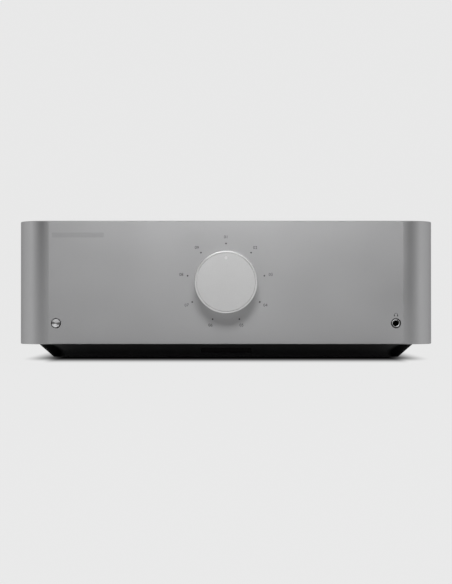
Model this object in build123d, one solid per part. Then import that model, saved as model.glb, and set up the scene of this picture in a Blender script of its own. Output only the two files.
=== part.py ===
from build123d import *
import math
import os

# Integrated stereo amplifier. An aluminium wrap (front panel and two side panels, all with
# large rounded corners) stands on a black bevelled plinth. Two concentric dials, a standby
# button and a headphone socket are on the front; the sockets are on a recessed rear panel.
# Millimetres, +Z up, the front faces -Y, and the origin is under the centre of the
# overall box, on the surface that the feet stand on.

# ---- Driving dimensions ----
WIDTH = 460.0
BODY_HEIGHT = 136.0
BODY_DEPTH = 345.0
LIFT = 16.0                 # underside of the wrap above the surface
KNOB_REACH = 38.0           # dials stand this far out of the front
TERMINAL_REACH = 22.0       # speaker terminals stand this far out of the back
CORNER_RADIUS = 35.0
INNER_RADIUS = 28.0
FRONT_THICKNESS = 8.0
WALL = 5.0
EDGE_BREAK = 0.6
GAP = 0.6                   # clearance round the cover and the tray
SEAM = 0.5                  # between the front panel and each side panel
FRONT_WRAP = 60.0           # the front panel's return along each side
REAR_FLANGE = 47.0          # each side panel's turn across the back

OVERALL_DEPTH = KNOB_REACH + BODY_DEPTH + TERMINAL_REACH
FRONT = KNOB_REACH - OVERALL_DEPTH / 2
BACK = FRONT + BODY_DEPTH
MIDDLE = (FRONT + BACK) / 2
TOP = LIFT + BODY_HEIGHT
HALF_WIDTH = WIDTH / 2
INNER_X = HALF_WIDTH - WALL
INNER_FRONT = FRONT + FRONT_THICKNESS
INNER_BACK = BACK - WALL
CLEAR = 1.0                 # how far a cutting tool runs past the face that it cuts

# ---- Top cover, tray and rear panel ----
COVER_THICKNESS = 5.0
COVER_TOP = TOP - 1.0
COVER_BOTTOM = COVER_TOP - COVER_THICKNESS
TRAY_BOTTOM = LIFT + 1.0
TRAY_TOP = TRAY_BOTTOM + 2.0
TRAY_LIP = 10.0
REAR_THICKNESS = 3.0
REAR_OUT = INNER_BACK - 0.2
REAR_IN = REAR_OUT - REAR_THICKNESS
REAR_HALF = 195.0
SHEET = 2.0
SCREW_CORE = 1.3

# ---- Heatsinks ----
SINK_FRONT = FRONT + 65.0
SINK_LENGTH = 240.0
SINK_BACK = SINK_FRONT + SINK_LENGTH
SINK_BASE_IN = 190.0
SINK_BASE_OUT = 198.0
FIN_TIP = 221.2
FIN_PITCH = 8.0
FIN_THICKNESS = 2.0
FIN_TOP = COVER_TOP - 1.5
VENT_IN = 198.5
VENT_OUT = 221.6
VENT_RADIUS = 3.0
VENT_MARGIN = 3.0           # beyond the first and last fin

# ---- Plinth and feet ----
PLINTH_TOP_INSET = 20.1     # from the wrap's outside to the plinth's top edge
PLINTH_BOTTOM_INSET = 36.1
PLINTH_BOTTOM = 1.0
PLINTH_FLOOR = 5.7          # top of the plinth's floor
PLINTH_CORNER = 6.0
PLINTH_WALL = 4.8           # measured level, through the slope
FOOT_RADIUS = 22.0
FOOT_TOP = 4.0
FOOT_X = 160.0
FOOT_Y = 100.0
BOSS_TOP = 12.0
SCREW_RADIUS = 2.0
WINDOW_WIDTH = 56.0
WINDOW_LOW = 6.0
WINDOW_HIGH = 11.4
WINDOW_SETBACK = 2.0

# ---- Dials ----
DIAL_Z = LIFT + BODY_HEIGHT / 2
DIAL_RADIUS = 33.85
DIAL_ROUND = 1.0
FACE_RADIUS = 31.8
FACE_GAP = 0.3
FACE_THICKNESS = 3.2
KNOB_LENGTH = 20.5
DIAL_GAP = 1.2              # air between the front dial and the ring behind it
RING_BACK = -1.6            # the ring's rear edge, measured from the front panel
SHAFT_RADIUS = 3.0
SLEEVE_RADIUS = 5.0
BUSH_RADIUS = 8.0
RUNNING = 0.06              # radial clearance of turning and sliding fits
HUB_RADIUS = 11.0
BOARD_FRONT = FRONT + 37.0  # front face of the control board
BOARD_THICKNESS = 1.6

# ---- Standby button and headphone socket ----
CONTROL_X = 187.0
CONTROL_Z = 39.2
COLLAR_RADIUS = 5.6
BUTTON_RADIUS = 4.75
BUTTON_PROUD = 1.0
BUTTON_TRAVEL = 1.5
BUTTON_STEM_END = 26.0
JACK_BORE = 3.2
FERRULE_RADIUS = 4.4

# ---- Blank name plate ----
PLATE_X = -163.0
PLATE_Z = 136.3
PLATE_WIDTH = 57.0
PLATE_HEIGHT = 5.4
PLATE_DEPTH = 0.8

# ---- Rear sockets ----
SOCKET_BOARD_BACK = 149.6
SPEAKER_Z = 108.0
SPEAKER_X = {"left_red": -136.0, "left_black": -164.0, "right_red": 136.0, "right_black": 164.0}
STUD_RADIUS = 3.0
STUD_BORE = STUD_RADIUS + 0.08
STUD_INNER_END = 155.0
PLUG_BORE = 2.0             # for a 4 mm plug
PLUG_DEPTH = 16.0
CLAMP_START = REAR_OUT + 3.3
CLAMP_FLANGE = 1.6
CLAMP_LENGTH = 4.0
CLAMP_NECK = 5.0
PHONO_COLUMNS = (-28.0, -6.0, 16.0, 44.0)
PHONO_WHITE_Z = 123.0
PHONO_RED_Z = 101.0
DIGITAL_Z = 62.0
COAXIAL_X = -92.0
OPTICAL_X = (-66.0, -46.0)
VIDEO_X = -18.0
DATA_X = 10.0
ANTENNA_X = 85.0
ANTENNA_Z = 112.0
BALANCED_X = {"left": -92.0, "right": -62.0}
BALANCED_Z = 112.0
MAINS_X = 130.0
MAINS_Z = 46.0
MAINS_FACE = REAR_OUT + 3.0
ROCKER_TILT = 10.0          # each way from level, so the full throw is twice this

# ---- Inside ----
TRANSFORMER_Y = FRONT + 125.0
CAN_RADIUS = 79.0
CAN_TOP = 129.0
CAN_WALL = 1.5
TOROID_RADIUS = 75.0
TOROID_HOLE = 22.0
TOROID_HEIGHT = 50.0
AMP_BOARD_X = 175.0
SUPPLY_Z = 27.0
FLAT_CABLE_X = -98.0


# ---- Shared shapes ----
def block(x0, x1, y0, y1, z0, z1):
    """Box between two corners."""
    centre = Pos((x0 + x1) / 2, (y0 + y1) / 2, (z0 + z1) / 2)
    return centre * Box(abs(x1 - x0), abs(y1 - y0), abs(z1 - z0))


def rod_y(radius, y0, y1, x=0.0, z=0.0):
    """Round bar along Y."""
    return Pos(x, (y0 + y1) / 2, z) * Rot(90, 0, 0) * Cylinder(radius, abs(y1 - y0))


def rod_z(radius, z0, z1, x=0.0, y=0.0):
    """Round bar along Z."""
    return Pos(x, y, (z0 + z1) / 2) * Cylinder(radius, abs(z1 - z0))


def rod_x(radius, x0, x1, y=0.0, z=0.0):
    """Round bar along X."""
    return Pos((x0 + x1) / 2, y, z) * Rot(0, 90, 0) * Cylinder(radius, abs(x1 - x0))


def turned_y(profile, x=0.0, z=0.0):
    """Solid of revolution about a line along Y, from (radius, y) points."""
    face = make_face(Polyline(*profile, close=True))
    return Pos(x, 0, z) * revolve(face, Axis.Y, 360)


def turned_z(profile, x=0.0, y=0.0):
    """Solid of revolution about a line along Z, from (radius, z) points."""
    face = make_face(Plane.XZ * Polyline(*profile, close=True))
    return Pos(x, y, 0) * revolve(face, Axis.Z, 360)


def rounded_slab(x_half, y0, y1, radius, z0, z1):
    """Vertical prism with a rounded-rectangle plan, centred on x = 0."""
    plan = Pos(0, (y0 + y1) / 2, z0) * RectangleRounded(2 * x_half, y1 - y0, radius)
    return extrude(plan, z1 - z0)


def cable(radius, points, bend):
    """Round lead along straight runs joined by arcs of one radius."""
    path = FilletPolyline(*points, radius=bend)
    return sweep(Plane(origin=path @ 0, z_dir=path % 0) * Circle(radius), path)


# ---- Case ----
def wrap():
    """The whole aluminium band, before it is parted into three panels."""
    band = rounded_slab(HALF_WIDTH, FRONT, BACK, CORNER_RADIUS, LIFT, TOP)
    rims = band.edges().group_by(Axis.Z)
    band = chamfer(rims[0] + rims[-1], EDGE_BREAK)
    inside = rounded_slab(INNER_X, INNER_FRONT, INNER_BACK, INNER_RADIUS, LIFT - CLEAR, TOP + CLEAR)
    return band - inside


def front_panel(band):
    """Thick front with a short return round each corner."""
    panel = band & block(-WIDTH, WIDTH, FRONT - CLEAR, FRONT + FRONT_WRAP - SEAM / 2, 0, TOP + CLEAR)
    panel -= rod_y(BUSH_RADIUS, FRONT - CLEAR, INNER_FRONT + CLEAR, 0, DIAL_Z)
    for x in (-CONTROL_X, CONTROL_X):
        panel -= rod_y(COLLAR_RADIUS, FRONT - CLEAR, INNER_FRONT + CLEAR, x, CONTROL_Z)
    return panel - name_plate(FRONT - CLEAR)


def side_panel(band, side):
    """Side wall with the rear corner and its flange."""
    inner = side * (HALF_WIDTH - REAR_FLANGE)
    outer = side * (HALF_WIDTH + CLEAR)
    return band & block(inner, outer, FRONT + FRONT_WRAP + SEAM / 2, BACK + CLEAR, 0, TOP + CLEAR)


def name_plate(front=FRONT):
    """Blank inlay, flush with the front."""
    centre = Pos(PLATE_X, FRONT + PLATE_DEPTH, PLATE_Z)
    outline = centre * Rot(90, 0, 0) * RectangleRounded(PLATE_WIDTH, PLATE_HEIGHT, 1.0)
    return extrude(outline, FRONT + PLATE_DEPTH - front)


def vent_opening(side):
    """The cutter for the long opening that a row of fins stands in."""
    centre = Pos(side * (VENT_IN + VENT_OUT) / 2, (SINK_FRONT + SINK_BACK) / 2, COVER_BOTTOM - CLEAR)
    plan = centre * RectangleRounded(VENT_OUT - VENT_IN, SINK_LENGTH + 2 * VENT_MARGIN, VENT_RADIUS)
    return extrude(plan, COVER_THICKNESS + 2 * CLEAR)


def top_cover():
    """Flat plate let into the wrap, open above both heatsinks."""
    plate = rounded_slab(
        INNER_X - GAP, INNER_FRONT + GAP, INNER_BACK - GAP, INNER_RADIUS - GAP, COVER_BOTTOM, COVER_TOP
    )
    plate = plate - vent_opening(-1) - vent_opening(1)
    return chamfer(plate.edges().group_by(Axis.Z)[-1], EDGE_BREAK)


def chassis_tray():
    """Steel floor with air slots under the fins, and a lip at the front and the back."""
    tray = rounded_slab(
        INNER_X - GAP, INNER_FRONT + GAP, INNER_BACK - GAP, INNER_RADIUS - GAP, TRAY_BOTTOM, TRAY_TOP
    )
    slot_pitch = 10.0
    slot_width = 4.0
    slots = int(SINK_LENGTH / slot_pitch)
    for side in (-1, 1):
        for index in range(slots):
            y = SINK_FRONT + slot_pitch * (index + 0.5)
            tray -= block(
                side * 200.0, side * 220.0, y - slot_width / 2, y + slot_width / 2,
                TRAY_BOTTOM - CLEAR, TRAY_TOP + CLEAR,
            )
    tray += block(-185, 185, REAR_IN - SHEET, REAR_IN, TRAY_TOP, TRAY_TOP + TRAY_LIP)
    tray += block(-180, 180, INNER_FRONT, INNER_FRONT + SHEET + GAP, TRAY_TOP, TRAY_TOP + TRAY_LIP)
    for x, z in rear_screw_places():
        tray -= rod_y(SCREW_CORE, REAR_IN - SHEET - CLEAR, REAR_IN + CLEAR, x, z)
    return tray


def joining_brackets():
    """Four steel straps inside the seams between the front and side panels."""
    straps = []
    for side in (-1, 1):
        for z in (34.0, 122.0):
            straps.append(
                block(side * (INNER_X - 3.2), side * INNER_X, FRONT + 45, FRONT + 75, z, z + 14)
            )
    return Compound(straps)


def heatsink(side):
    """Vertical fins on a thick base, its outer face towards the side panel."""
    base = block(side * SINK_BASE_IN, side * SINK_BASE_OUT, SINK_FRONT, SINK_BACK, TRAY_TOP, FIN_TOP)
    fins = int(SINK_LENGTH / FIN_PITCH)
    step = (SINK_LENGTH - FIN_THICKNESS) / fins
    for index in range(fins + 1):
        y = SINK_FRONT + step * index
        base += block(side * SINK_BASE_OUT, side * FIN_TIP, y, y + FIN_THICKNESS, TRAY_TOP, FIN_TOP)
    under_cover = block(
        side * (SINK_BASE_IN - CLEAR), side * (VENT_IN + 0.4), SINK_FRONT - CLEAR, SINK_BACK + CLEAR,
        COVER_BOTTOM, FIN_TOP + CLEAR,
    )
    return base - under_cover


# ---- Plinth and feet ----
def plinth_inset(z):
    """How far the plinth's outside is inside the wrap's outside, at one height."""
    slope = (PLINTH_TOP_INSET - PLINTH_BOTTOM_INSET) / (TRAY_BOTTOM - PLINTH_BOTTOM)
    return PLINTH_BOTTOM_INSET + slope * (z - PLINTH_BOTTOM)


def bevelled(extra_inset, corner, z_bottom, z_top):
    """Solid with four sloping sides, parallel to the plinth's outside."""
    outlines = []
    for z in (z_bottom, z_top):
        inset = plinth_inset(z) + extra_inset
        plan = RectangleRounded(WIDTH - 2 * inset, BODY_DEPTH - 2 * inset, corner)
        outlines.append(Pos(0, MIDDLE, z) * plan)
    return loft(outlines, ruled=True)


def foot_places():
    """Centre of each foot in plan."""
    return [(sx * FOOT_X, MIDDLE + sy * FOOT_Y) for sx in (-1, 1) for sy in (-1, 1)]


def plinth():
    """Hollow black base with sloping sides, foot pockets and screw bosses."""
    shell = bevelled(0.0, PLINTH_CORNER, PLINTH_BOTTOM, TRAY_BOTTOM)
    shell -= bevelled(PLINTH_WALL, PLINTH_CORNER - 2, PLINTH_FLOOR, TRAY_BOTTOM + CLEAR)
    for x, y in foot_places():
        shell += rod_z(9.0, PLINTH_FLOOR - CLEAR, BOSS_TOP, x, y)
        shell -= rod_z(FOOT_RADIUS + 0.3, PLINTH_BOTTOM - CLEAR, FOOT_TOP, x, y)
        shell -= rod_z(SCREW_RADIUS, 0, BOSS_TOP + CLEAR, x, y)
    front_edge = FRONT + PLINTH_TOP_INSET
    half = WINDOW_WIDTH / 2
    return shell - block(-half, half, front_edge, front_edge + 20.0, WINDOW_LOW, WINDOW_HIGH)


def infrared_window():
    """Dark window set back in the slot in the plinth's front."""
    face = FRONT + plinth_inset(WINDOW_LOW) + WINDOW_SETBACK
    half = WINDOW_WIDTH / 2
    return block(-half, half, face, face + 2.0, WINDOW_LOW, WINDOW_HIGH)


def feet():
    """Four rubber discs, bevelled underneath and counterbored for a screw."""
    profile = [(2.2, 3.0), (5.6, 3.0), (5.6, 0.0), (20.8, 0.0), (FOOT_RADIUS, 1.2),
               (FOOT_RADIUS, FOOT_TOP), (2.2, FOOT_TOP)]
    return Compound([turned_z(profile, x, y) for x, y in foot_places()])


def foot_screws():
    """Pan-head screws that hold the feet to the plinth's bosses."""
    profile = [(0, 0.8), (4.4, 0.8), (5.0, 1.4), (5.0, 3.0), (SCREW_RADIUS, 3.0),
               (SCREW_RADIUS, BOSS_TOP), (0, BOSS_TOP)]
    key = extrude(RegularPolygon(2.2, 6), 2.2)
    return Compound([turned_z(profile, x, y) - Pos(x, y, 0) * key for x, y in foot_places()])


# ---- Dials ----
def volume_knob():
    """Front dial: a hollow turned shell with a pocket for its face disc."""
    face = FRONT - KNOB_REACH
    rim = face + 0.1
    back = face + KNOB_LENGTH
    pocket = FACE_RADIUS + FACE_GAP
    floor = face + FACE_THICKNESS
    profile = [
        (0, floor), (pocket, floor), (pocket, rim), (DIAL_RADIUS, rim), (DIAL_RADIUS, back),
        (DIAL_RADIUS - 3, back), (DIAL_RADIUS - 3, floor + 3), (HUB_RADIUS, floor + 3),
        (HUB_RADIUS, back), (SHAFT_RADIUS, back), (SHAFT_RADIUS, floor + 3), (0, floor + 3),
    ]
    shell = turned_y(profile, 0, DIAL_Z)
    outer_rim = [e for e in shell.edges().filter_by(GeomType.CIRCLE)
                 if abs(e.radius - DIAL_RADIUS) < 0.01]
    return fillet(ShapeList(outer_rim).sort_by(Axis.Y)[:1], DIAL_ROUND)


def pointer_pin(radius, y0, y1):
    """Round-ended bar at the top of the front dial's face."""
    spot = Pos(0, y1, DIAL_Z + 26.3) * Rot(90, 0, 0)
    return extrude(spot * SlotOverall(2 * radius + 0.4, 2 * radius, rotation=90), y1 - y0)


def volume_knob_face():
    """Disc that closes the front dial, with a hole for the pointer."""
    face = FRONT - KNOB_REACH
    profile = [(0, face), (FACE_RADIUS - 0.3, face), (FACE_RADIUS, face + 0.3),
               (FACE_RADIUS, face + FACE_THICKNESS), (0, face + FACE_THICKNESS)]
    disc = turned_y(profile, 0, DIAL_Z)
    return disc - pointer_pin(1.6, face - CLEAR, face + 1.6)


def volume_pointer():
    """Polished insert, sunk a little into the dial's face."""
    face = FRONT - KNOB_REACH
    return pointer_pin(1.6, face + 0.3, face + 1.6)


def volume_shaft():
    """Solid spindle from the front dial to the encoder."""
    start = FRONT - KNOB_REACH + FACE_THICKNESS + 3
    return rod_y(SHAFT_RADIUS, start, FRONT + 34, 0, DIAL_Z)


def selector_groove(depth, extra=0.0):
    """Narrow bar along the top of the ring's rim."""
    front = FRONT - KNOB_REACH + KNOB_LENGTH + DIAL_GAP
    top = DIAL_Z + DIAL_RADIUS
    return block(-0.6, 0.6, front - extra, FRONT + RING_BACK + extra, top - depth, top - 0.1 + extra)


def selector_ring():
    """Rear dial, as wide as the front one, on a hollow sleeve."""
    front = FRONT - KNOB_REACH + KNOB_LENGTH + DIAL_GAP
    back = FRONT + RING_BACK
    web = front + 3.0
    profile = [
        (SLEEVE_RADIUS, front), (DIAL_RADIUS - 0.4, front), (DIAL_RADIUS, front + 0.4),
        (DIAL_RADIUS, back - 0.4), (DIAL_RADIUS - 0.4, back), (DIAL_RADIUS - 4, back),
        (DIAL_RADIUS - 4, web), (HUB_RADIUS - 1, web), (HUB_RADIUS - 1, back - 4),
        (SLEEVE_RADIUS, back - 4),
    ]
    return turned_y(profile, 0, DIAL_Z) - selector_groove(0.8, extra=0.2)


def selector_pointer():
    """Pale line let into the ring's rim."""
    return selector_groove(0.8)


def selector_sleeve():
    """Tube that carries the ring and turns in the bush."""
    front = FRONT - KNOB_REACH + KNOB_LENGTH + DIAL_GAP
    return (
        rod_y(SLEEVE_RADIUS, front, FRONT + 24, 0, DIAL_Z)
        - rod_y(SHAFT_RADIUS + RUNNING, front - CLEAR, FRONT + 24 + CLEAR, 0, DIAL_Z)
    )


def control_bush():
    """Flanged bush through the front panel, and its nut inside."""
    bore = SLEEVE_RADIUS + RUNNING
    profile = [(bore, FRONT - 1.2), (10.5, FRONT - 1.2), (10.5, FRONT), (BUSH_RADIUS, FRONT),
               (BUSH_RADIUS, FRONT + 14), (bore, FRONT + 14)]
    outline = Pos(0, INNER_FRONT + 4, DIAL_Z) * Rot(90, 0, 0) * RegularPolygon(12, 6)
    nut = extrude(outline, 4) - rod_y(BUSH_RADIUS, INNER_FRONT - CLEAR, INNER_FRONT + 6, 0, DIAL_Z)
    return Compound([turned_y(profile, 0, DIAL_Z), nut])


def rotary_encoder():
    """Housing that reads both the sleeve and the shaft."""
    start = FRONT + 14
    case = block(-20, 20, start, BOARD_FRONT, DIAL_Z - 20, DIAL_Z + 20)
    case = chamfer(case.edges().filter_by(Axis.Y), 4)
    case -= rod_y(SLEEVE_RADIUS + 0.4, start - CLEAR, FRONT + 26, 0, DIAL_Z)
    return case - rod_y(SHAFT_RADIUS + 0.4, start, FRONT + 35, 0, DIAL_Z)


# ---- Standby button and headphone socket ----
def standby_collar():
    """Thin sleeve pressed into the panel round the button."""
    return (
        rod_y(COLLAR_RADIUS, FRONT - 0.1, INNER_FRONT, -CONTROL_X, CONTROL_Z)
        - rod_y(BUTTON_RADIUS + 0.3, FRONT - CLEAR, INNER_FRONT + CLEAR, -CONTROL_X, CONTROL_Z)
    )


def standby_button():
    """Button with a shallow dished face and a stem that reaches the switch."""
    face = FRONT - BUTTON_PROUD
    end = FRONT + BUTTON_STEM_END
    profile = [(0, face + 0.35), (BUTTON_RADIUS - 0.5, face), (BUTTON_RADIUS, face + 0.4),
               (BUTTON_RADIUS, FRONT + 7), (1.5, FRONT + 7), (1.5, end), (0, end)]
    return turned_y(profile, -CONTROL_X, CONTROL_Z)


def headphone_ferrule():
    """Bright threaded ring at the socket's mouth."""
    profile = [
        (JACK_BORE, FRONT + 0.3), (JACK_BORE + 0.5, FRONT - 0.2), (FERRULE_RADIUS - 0.4, FRONT - 0.2),
        (FERRULE_RADIUS, FRONT + 0.2), (FERRULE_RADIUS, INNER_FRONT), (JACK_BORE, INNER_FRONT),
    ]
    return turned_y(profile, CONTROL_X, CONTROL_Z)


def headphone_socket():
    """Black socket body: a collar in the panel's hole and a box behind it."""
    collar = rod_y(COLLAR_RADIUS, FRONT + 0.9, INNER_FRONT, CONTROL_X, CONTROL_Z)
    collar -= rod_y(FERRULE_RADIUS, FRONT, INNER_FRONT + CLEAR, CONTROL_X, CONTROL_Z)
    box = block(
        CONTROL_X - 7.5, CONTROL_X + 7.5, INNER_FRONT, BOARD_FRONT, CONTROL_Z - 8, CONTROL_Z + 8
    )
    return collar + box - rod_y(JACK_BORE, INNER_FRONT - CLEAR, BOARD_FRONT - 2, CONTROL_X, CONTROL_Z)


def control_board():
    """Board across the back of the front controls, its pillars and the standby switch."""
    board = block(-200, 200, BOARD_FRONT, BOARD_FRONT + BOARD_THICKNESS, 30, 138)
    pillars = [rod_y(3, INNER_FRONT, BOARD_FRONT, x, z) for x in (-150, 150) for z in (40, 128)]
    start = FRONT + BUTTON_STEM_END + BUTTON_TRAVEL + 0.3
    switch = block(-CONTROL_X - 6, -CONTROL_X + 6, start, BOARD_FRONT, CONTROL_Z - 6, CONTROL_Z + 6)
    return Compound([board, switch] + pillars)


# ---- Rear panel and its sockets ----
def mains_body_outline(clearance, y0, y1):
    """The rectangular body of the mains module, grown by a clearance."""
    return block(
        MAINS_X - 33 - clearance, MAINS_X + 33 + clearance, y0, y1,
        MAINS_Z - 13.5 - clearance, MAINS_Z + 13.5 + clearance,
    )


def rear_panel():
    """Aluminium sheet with a cut-out for every socket."""
    panel = block(-REAR_HALF, REAR_HALF, REAR_IN, REAR_OUT, TRAY_TOP, COVER_BOTTOM)
    y0, y1 = REAR_IN - CLEAR, REAR_OUT + CLEAR
    for x in SPEAKER_X.values():
        panel -= rod_y(6.2, y0, y1, x, SPEAKER_Z)
    for x, z in phono_places("white") + phono_places("red"):
        panel -= rod_y(5.2, y0, y1, x, z)
    for x in BALANCED_X.values():
        panel -= block(x - 12.2, x + 12.2, y0, y1, BALANCED_Z - 14.2, BALANCED_Z + 13.6)
    for x in OPTICAL_X:
        panel -= block(x - 6.6, x + 6.6, y0, y1, DIGITAL_Z - 6.6, DIGITAL_Z + 6.6)
    panel -= block(VIDEO_X - 8.1, VIDEO_X + 8.1, y0, y1, DIGITAL_Z - 3.6, DIGITAL_Z + 3.6)
    panel -= block(DATA_X - 5.1, DATA_X + 5.1, y0, y1, DIGITAL_Z - 4.8, DIGITAL_Z + 4.8)
    panel -= rod_y(3.2, y0, y1, ANTENNA_X, ANTENNA_Z)
    panel -= mains_body_outline(0.3, y0, y1)
    for x, z in rear_screw_places():
        panel -= rod_y(SCREW_CORE, y0, y1, x, z)
    return panel


def phono_places(colour):
    """Centre of each phono socket of one colour."""
    if colour == "white":
        return [(x, PHONO_WHITE_Z) for x in PHONO_COLUMNS] + [(COAXIAL_X, DIGITAL_Z)]
    return [(x, PHONO_RED_Z) for x in PHONO_COLUMNS]


def rear_screw_places():
    """Screws round the edge of the rear panel."""
    places = [(x, z) for x in (-176.0, -60.0, 60.0, 176.0) for z in (26.0, 139.0)]
    return places + [(x, 78.0) for x in (-176.0, 176.0)]


def rear_panel_screws():
    """Button-head screws; the lower row goes through the tray's lip."""
    head = 2.8
    end = REAR_IN - SHEET
    profile = [(0, REAR_OUT + 1.6), (1.6, REAR_OUT + 1.5), (head, REAR_OUT + 0.4), (head, REAR_OUT),
               (SCREW_CORE, REAR_OUT), (SCREW_CORE, end), (0, end)]
    screws = []
    for x, z in rear_screw_places():
        key = Pos(x, REAR_OUT + 0.4, z) * Rot(-90, 0, 0) * RegularPolygon(1.2, 6)
        screws.append(turned_y(profile, x, z) - extrude(key, 2))
    return Compound(screws)


def phono_barrels():
    """Gold barrel, flange and rear tube of each phono socket."""
    out = REAR_OUT
    profile = [
        (3.2, SOCKET_BOARD_BACK), (5.0, SOCKET_BOARD_BACK), (5.0, out), (6.2, out), (6.2, out + 1.4),
        (4.15, out + 1.4), (4.15, out + 10.1), (3.75, out + 10.5), (3.2, out + 10.5),
    ]
    places = phono_places("white") + phono_places("red")
    return Compound([turned_y(profile, x, z) for x, z in places])


def phono_insulators(colour):
    """Coloured sleeve inside each barrel, with the hole for the plug's pin."""
    front = REAR_OUT + 9.7
    floor = REAR_OUT - 6.0
    profile = [(0, SOCKET_BOARD_BACK), (3.2, SOCKET_BOARD_BACK), (3.2, front), (2.1, front),
               (1.7, front - 0.4), (1.7, floor), (0, floor)]
    return Compound([turned_y(profile, x, z) for x, z in phono_places(colour)])


def balanced_input(x):
    """Three-pole socket: a flanged shell, and the insert with three pin holes."""
    face = REAR_OUT + SHEET
    bore_z = BALANCED_Z - 2.0
    floor = face - 15.0
    plate = block(x - 13, x + 13, REAR_OUT, face, BALANCED_Z - 15.5, BALANCED_Z + 15.5)
    plate = fillet(plate.edges().filter_by(Axis.Y), 2.5)
    low, high = BALANCED_Z - 14, BALANCED_Z + 9.2
    shell = plate + block(x - 12, x + 12, SOCKET_BOARD_BACK, REAR_OUT, low, high)
    shell -= rod_y(9.6, floor, face + CLEAR, x, bore_z)
    low, high = BALANCED_Z + 9.4, BALANCED_Z + 13.4
    shell -= block(x - 4.3, x + 4.3, REAR_OUT - CLEAR, face + CLEAR, low, high)
    insert = rod_y(7.9, floor, face - 1.0, x, bore_z)
    for degrees in (30, 150, 270):
        angle = math.radians(degrees)
        hole_x, hole_z = x + 4.4 * math.cos(angle), bore_z + 4.4 * math.sin(angle)
        insert -= rod_y(1.5, face - 11.0, face, hole_x, hole_z)
    return [shell, insert]


def balanced_latch(x):
    """Release tab above a balanced socket; it is pressed inwards."""
    tab = block(x - 4.0, x + 4.0, REAR_OUT - 12, REAR_OUT + 5.0, BALANCED_Z + 9.8, BALANCED_Z + 13.0)
    return chamfer(tab.faces().sort_by(Axis.Y)[-1].edges(), 0.5)


def optical_sockets():
    """Two square sockets for optical leads."""
    mouth = REAR_OUT + 2.0
    sockets = []
    for x in OPTICAL_X:
        nose = block(x - 6.5, x + 6.5, SOCKET_BOARD_BACK, mouth, DIGITAL_Z - 6.5, DIGITAL_Z + 6.5)
        cavity = block(x - 4.9, x + 4.9, mouth - 12, mouth + CLEAR, DIGITAL_Z - 4.4, DIGITAL_Z + 4.4)
        cavity = chamfer(cavity.edges().filter_by(Axis.Y).sort_by(Axis.Z)[-2:], 1.5)
        sockets.append(nose - cavity + rod_y(1.2, mouth - 12, mouth - 8, x, DIGITAL_Z))
    return Compound(sockets)


def socket_shell(x, half_width, half_height, mouth):
    """Solid block round a data socket, from its board to its mouth."""
    low, high = DIGITAL_Z - half_height, DIGITAL_Z + half_height
    return block(x - half_width, x + half_width, SOCKET_BOARD_BACK, mouth, low, high)


def data_sockets():
    """Flat video socket and square data socket, each a shell round a tongue."""
    mouth = REAR_OUT + 1.0
    floor = mouth - 12.0
    hollow = block(VIDEO_X - 7.1, VIDEO_X + 7.1, floor, mouth + CLEAR, DIGITAL_Z - 2.4, DIGITAL_Z + 2.4)
    flat = socket_shell(VIDEO_X, 8, 3.4, mouth)
    flat -= chamfer(hollow.edges().filter_by(Axis.Y).sort_by(Axis.Z)[:2], 1.6)
    flat += block(VIDEO_X - 6, VIDEO_X + 6, floor - 0.5, mouth - 1, DIGITAL_Z - 0.2, DIGITAL_Z + 1.2)
    hollow = block(DATA_X - 4.25, DATA_X + 4.25, floor, mouth + CLEAR, DIGITAL_Z - 3.95, DIGITAL_Z + 3.95)
    square = socket_shell(DATA_X, 5, 4.7, mouth)
    square -= chamfer(hollow.edges().filter_by(Axis.Y).sort_by(Axis.Z)[-2:], 1.4)
    square += block(DATA_X - 2.8, DATA_X + 2.8, floor - 0.5, mouth - 5, DIGITAL_Z - 1.6, DIGITAL_Z + 1.6)
    return Compound([flat, square])


def wireless_antenna():
    """Low plastic dome over the wireless aerial, on a stem through the panel."""
    out = REAR_OUT
    profile = [
        (0, REAR_IN - 6), (3.0, REAR_IN - 6), (3.0, out), (9.5, out), (9.5, out + 1.6), (7.5, out + 2.0),
        (7.0, out + 8.5), (5.5, out + 10.0), (0, out + 10.4),
    ]
    return turned_y(profile, ANTENNA_X, ANTENNA_Z)


# ---- Mains module ----
def mains_recess(depth):
    """The six-sided hollow that the mains connector enters."""
    x = MAINS_X - 18.5
    low, high = MAINS_Z - 8.2, MAINS_Z + 8.2
    hollow = block(x - 12.15, x + 12.15, MAINS_FACE - depth, MAINS_FACE + CLEAR, low, high)
    return chamfer(hollow.edges().filter_by(Axis.Y).sort_by(Axis.Z)[-2:], 4.0)


def mains_inlet():
    """Moulded module: connector recess, fuse drawer pocket and rocker pocket."""
    flange = block(MAINS_X - 36, MAINS_X + 36, REAR_OUT, MAINS_FACE, MAINS_Z - 15.5, MAINS_Z + 15.5)
    flange = fillet(flange.edges().filter_by(Axis.Y), 3)
    flange = chamfer(flange.faces().sort_by(Axis.Y)[-1].edges(), 0.5)
    body = flange + mains_body_outline(0.0, 152.0, REAR_OUT)
    body -= mains_recess(17.0)
    for dx, dz in ((-7, -1.8), (0, 1.8), (7, -1.8)):
        x = MAINS_X - 18.5 + dx
        body -= block(x - 1, x + 1, 157, MAINS_FACE - 16.0, MAINS_Z + dz - 2, MAINS_Z + dz + 2)
    body -= fuse_pocket()
    body -= block(MAINS_X + 11.4, MAINS_X + 28.6, MAINS_FACE - 13, MAINS_FACE + CLEAR,
                  MAINS_Z - 12.2, MAINS_Z + 12.2)
    x0, x1, y, z = rocker_axis(1.2)
    return body - rod_x(1.2 + RUNNING, x0, x1, y, z)


def mains_inlet_pins():
    """Three flat blades, set well back in the recess."""
    blades = []
    for dx, dz in ((-7, -1.8), (0, 1.8), (7, -1.8)):
        x = MAINS_X - 18.5 + dx
        blade = block(x - 1, x + 1, 157, MAINS_FACE - 5.5, MAINS_Z + dz - 2, MAINS_Z + dz + 2)
        blades.append(chamfer(blade.faces().sort_by(Axis.Y)[-1].edges(), 0.4))
    return Compound(blades)


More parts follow.
